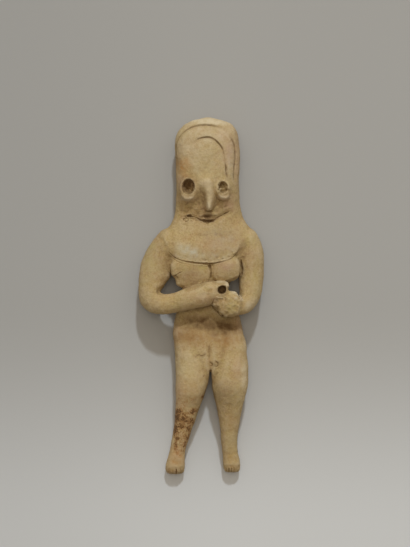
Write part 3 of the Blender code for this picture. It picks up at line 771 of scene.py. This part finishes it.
def makeClay():
    material = bpy.data.materials.new("bakedClay")
    material.use_nodes = True
    tree = material.node_tree
    shader = tree.nodes["Principled BSDF"]
    start = Wire(tree)
    place = start.node("ShaderNodeTexCoord", {}, {}, out="Object")

    def grain(name):
        scale, detail, rough = bakedClay["grains"][name]
        return start.node("ShaderNodeTexNoise", {},
                          {"Vector": place, "Scale": scale, "Detail": detail, "Roughness": rough})

    def mark(name):
        return start.node("ShaderNodeAttribute", {"attribute_name": name}, {}, out="Fac")

    # The bare clay: two buffs, with warmer and cooler blotches and a fine speckle.
    tone = {name: (*value, 1) for name, value in bakedClay["tones"].items()}
    patchy, fine, speckle = grain("patchy"), grain("fine"), bakedClay["speckle"]
    spread = grain("middling").between(0.34, 0.66)
    colour = mix(grain("broad").between(0.38, 0.62), tone["buff"], tone["warmBuff"])
    colour = mix(spread * 0.25, colour, tone["lightBuff"])
    colour = mix(patchy.between(0.52, 0.70) * 0.24, colour, tone["rosy"])
    colour = mix((1 - patchy).between(0.52, 0.70) * 0.22, colour, tone["ochre"])
    colour = mix(fine.between(0.50, 0.70) * speckle, colour, tone["deepBuff"])
    colour = mix((1 - fine).between(0.50, 0.70) * speckle, colour, tone["lightBuff"])

    # Stains, painted highlights, worn edges, darkened hollows, and dirt with painted shade.
    # The pale stain carries painted highlights as well as pale clay.
    for name, (least, broken) in bakedClay["stainsAndPaintedLight"].items():
        colour = mix(mark(name) * (least + broken * spread), colour, tone[name])
    colour = mix(mark("edge") * 0.35, colour, tone["paleAndHighlight"])
    # Hollows darkened with the dirt tone.
    colour = mix(mark("hollow") * 0.6, colour, tone["dirtAndShade"])
    # The dirt mark carries painted shade and shadow as well as dirt.
    colour = mix(mark("dirtAndShade") * (0.5 + 0.35 * spread), colour, tone["dirtAndShade"])

    # Crust: a brown lace on a rusty ground.
    lace, speck = grain("lace"), grain("speck")
    rusty = (mark("crust") + (lace - 0.5) * 2.0).between(0.15, 0.75)
    crusted = (mark("crust") + (lace - 0.5) * 2.6 + (speck - 0.5) * 1.2).between(0.62, 1.05)
    colour = mix(rusty * 0.7, colour, tone["rust"])
    colour = mix(crusted * 0.85, colour, tone["crust"])

    relief = grain("relief") * 0.6 + grain("grit") * 0.4
    bump = start.node("ShaderNodeBump", {}, {
        "Strength": bakedClay["bump"], "Distance": bakedClay["bumpDepth"], "Height": relief,
    })
    tree.links.new(colour.socket, shader.inputs["Base Color"])
    tree.links.new((bakedClay["roughness"] - mark("chalk") * 0.1).socket, shader.inputs["Roughness"])
    tree.links.new(bump.socket, shader.inputs["Normal"])
    return material


idolClay.data.materials.clear()
idolClay.data.materials.append(makeClay())
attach(idolClay, "root")
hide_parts("idol")
print("clay coloured")


studio = {
    "floorSize": 4.0,
    # Painted light and shade on the floor, in place of a lamp's fall-off:
    "floorShadedTop": (0.427, 0.413, 0.388),  # beyond the head
    "floorLitFoot": (0.645, 0.640, 0.625),  # beside the feet
    "floorShadedSide": (0.25, 0.25, 0.25),  # mixed in towards the left
    "floorShadedSideShare": 0.2,
    "floorReach": 0.09,  # metres from the middle at which a tone is full
    "floorRoughness": 0.9,
    "lampDistance": 1.5,
    "keyFrom": (0.12, 1.0, 0.87),  # a small lamp, high beyond the head
    "keyPower": 1.42,
    "keyAngle": 3.5,
    "keyColour": (0.82, 0.91, 1.0),
    "fillFrom": (0.03, 0.9, 1.0),  # a broad light from the same side
    "fillPower": 0.74,
    "fillAngle": 90.0,
    "topFrom": (0.0, 0.1, 1.0),  # a weaker lamp straight over the figure
    "topPower": 0.44,
    "topAngle": 25.0,
    "ambient": 0.229,
    "roomColour": (1.0, 0.93, 0.82),
    "sensor": 36.0,
    "cameraHeight": 1.0,
    "focusHeight": 0.009,  # the height at which the frame has its stated size
    "frameHeight": 0.1986,
    "aim": (0.00143, 0.00828),
    "clipStart": 0.05,
}


def makeFloor():
    material = bpy.data.materials.new("floorWithPaintedLight")
    material.use_nodes = True
    tree = material.node_tree
    shader = tree.nodes["Principled BSDF"]
    start = Wire(tree)
    place = start.node("ShaderNodeTexCoord", {}, {}, out="Object")
    across, along = (start.node("ShaderNodeSeparateXYZ", {}, {0: place}, out=axis) for axis in ("X", "Y"))
    # Painted light and shade: brighter beside the feet, darker beyond the head and towards the left.
    foot = (along * -1.0).between(0.0, studio["floorReach"])
    side = (across * -1.0).between(-0.02, studio["floorReach"]) * studio["floorShadedSideShare"]
    colour = mix(foot, (*studio["floorShadedTop"], 1), (*studio["floorLitFoot"], 1))
    colour = mix(side, colour, (*studio["floorShadedSide"], 1))
    tree.links.new(colour.socket, shader.inputs["Base Color"])
    shader.inputs["Roughness"].default_value = studio["floorRoughness"]
    return material


bpy.ops.object.select_all(action="DESELECT")
bpy.ops.mesh.primitive_plane_add(size=studio["floorSize"], location=(0, 0, 0))
floor = bpy.context.object
floor.name = "floor"
floor.data.materials.append(makeFloor())


def addSun(name, start, angle, power, colour):
    bpy.ops.object.light_add(type="SUN", location=Vector(start).normalized() * studio["lampDistance"])
    lamp = bpy.context.object
    lamp.name = name
    lamp.data.angle = math.radians(angle)
    lamp.data.energy = power
    lamp.data.color = colour
    lamp.rotation_mode = "QUATERNION"
    lamp.rotation_quaternion = (-Vector(start)).to_track_quat("-Z", "Y")


addSun("keyLight", studio["keyFrom"], studio["keyAngle"], studio["keyPower"], studio["keyColour"])
addSun("fillLight", studio["fillFrom"], studio["fillAngle"], studio["fillPower"], studio["roomColour"])
addSun("topLight", studio["topFrom"], studio["topAngle"], studio["topPower"], studio["roomColour"])

world = bpy.data.worlds.new("room")
bpy.context.scene.world = world
world.use_nodes = True
world.node_tree.nodes["Background"].inputs["Color"].default_value = (*studio["roomColour"], 1)
world.node_tree.nodes["Background"].inputs["Strength"].default_value = studio["ambient"]

bpy.ops.object.camera_add(location=(*studio["aim"], studio["cameraHeight"]))
camera = bpy.context.object
camera.name = "camera"
camera.data.sensor_fit = "AUTO"
camera.data.sensor_width = studio["sensor"]
camera.data.lens = studio["sensor"] * (studio["cameraHeight"] - studio["focusHeight"]) / studio["frameHeight"]
camera.data.clip_start = studio["clipStart"]
bpy.context.scene.camera = camera
bpy.context.scene.view_settings.view_transform = "Standard"
print("studio ready")
